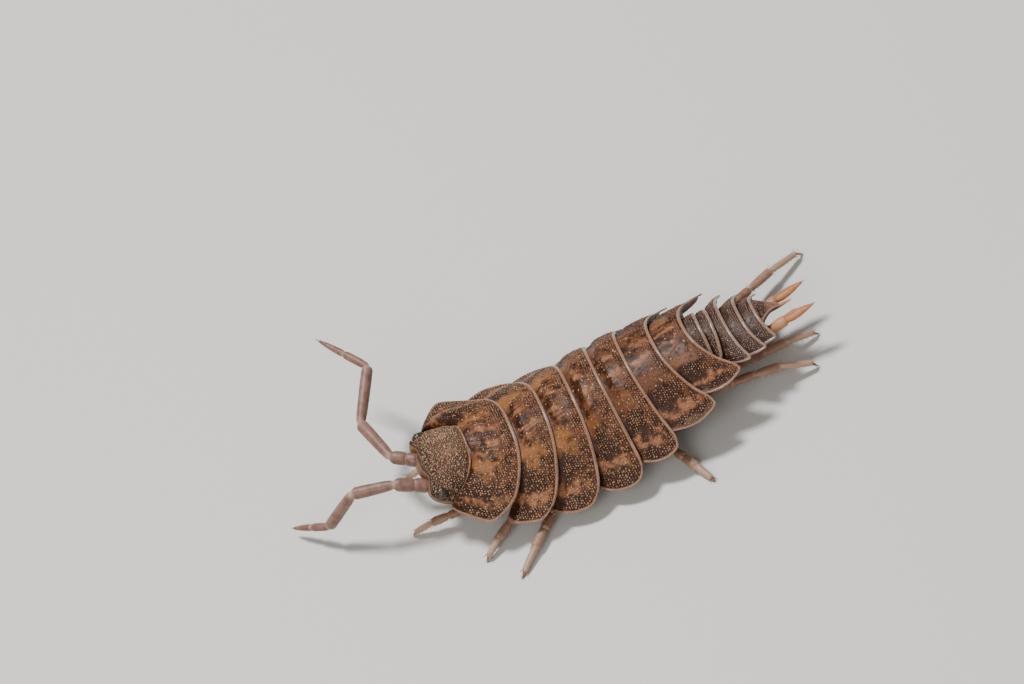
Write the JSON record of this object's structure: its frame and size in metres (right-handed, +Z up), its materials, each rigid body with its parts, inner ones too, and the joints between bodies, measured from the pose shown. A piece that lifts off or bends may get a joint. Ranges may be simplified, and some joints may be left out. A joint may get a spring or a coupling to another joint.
{
  "type": "woodlouse",
  "caption": "life-size rough woodlouse standing on walking legs, with a granular plated back, bent antennae and a pointed tail fan, as a still museum model",
  "frame": {"origin": "middle of the whole animal's box, feelers and feet included, at the level of the soles", "axes": "+X is the animal's left, +Y runs from head to tail, +Z is up from the floor"},
  "size_m": [0.013, 0.0226, 0.0039],
  "materials": {
    "back_plate": "grey-brown cuticle mottled dark brown and ochre, with fine pale granules and a translucent greyish border, half matt",
    "tail_plate": "dark grey-brown cuticle with pale granules and a paler hind border, slightly glossy",
    "head_shell": "grey-brown cuticle crowded with pale granules, half matt",
    "limb": "translucent greyish pink-brown cuticle with fine bristles, slightly glossy",
    "antenna": "translucent greyish brown cuticle with fine bristles, paler at the joints",
    "eye": "black cluster of small glossy lenses",
    "uropod": "translucent orange-tan cuticle, slightly glossy",
    "gill": "thin pale translucent flaps"
  },
  "bodies": {
    "root": {"cephalon": "head_shell", "mouthparts": "limb", "pereonite_1": "back_plate", "pereonite_2": "back_plate", "pereonite_3": "back_plate", "pereonite_4": "back_plate", "pereonite_5": "back_plate", "pereonite_6": "back_plate", "pereonite_7": "back_plate", "pleonite_1": "tail_plate", "pleonite_2": "tail_plate", "pleonite_3": "tail_plate", "pleonite_4": "tail_plate", "pleonite_5": "tail_plate", "pleotelson": "tail_plate", "eye_left": "eye", "antenna_left_base": "antenna", "antenna_left_article_4": "antenna", "antenna_left_article_5": "antenna", "antenna_left_flagellum": "antenna", "pereopod_left_1": "limb", "pereopod_left_2": "limb", "pereopod_left_3": "limb", "pereopod_left_4": "limb", "pereopod_left_5": "limb", "pereopod_left_6": "limb", "pereopod_left_7": "limb", "uropod_left": "uropod", "pleopods_left": "gill", "eye_right": "eye", "antenna_right_base": "antenna", "antenna_right_article_4": "antenna", "antenna_right_article_5": "antenna", "antenna_right_flagellum": "antenna", "pereopod_right_1": "limb", "pereopod_right_2": "limb", "pereopod_right_3": "limb", "pereopod_right_4": "limb", "pereopod_right_5": "limb", "pereopod_right_6": "limb", "pereopod_right_7": "limb", "uropod_right": "uropod", "pleopods_right": "gill"}
  },
  "joints": []
}
